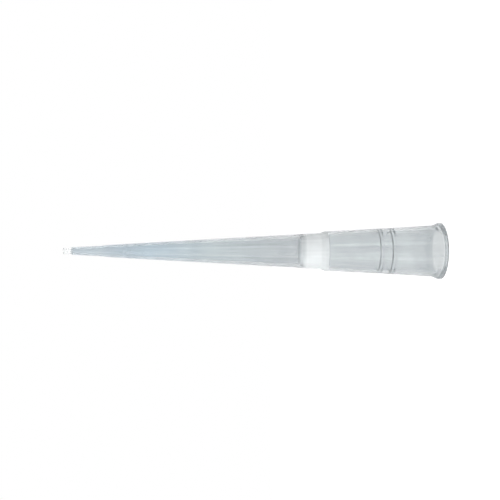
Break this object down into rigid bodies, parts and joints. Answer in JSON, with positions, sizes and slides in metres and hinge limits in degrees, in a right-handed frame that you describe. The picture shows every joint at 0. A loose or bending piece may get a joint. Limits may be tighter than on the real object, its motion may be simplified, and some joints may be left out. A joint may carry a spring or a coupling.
{
  "type": "filter pipette tip",
  "caption": "Slender hollow cone that fits on a pipette's nozzle and draws liquid through its fine point, with a porous filter plug inside.",
  "frame": {"origin": "centre of the rim face at the wide end, on the surface that the tip stands on", "axes": "+Z along the tip's axis, from the wide socket at the bottom to the fine point at the top; X and Y are equal by symmetry"},
  "size_m": [0.0076, 0.0076, 0.051],
  "materials": {
    "clear_polypropylene": "natural, hazy, moulded; polished collar",
    "porous_polyethylene": "white, sintered, fine-grained"
  },
  "bodies": {
    "root": {"tip_body": "clear_polypropylene", "filter_plug": "porous_polyethylene"}
  },
  "joints": []
}
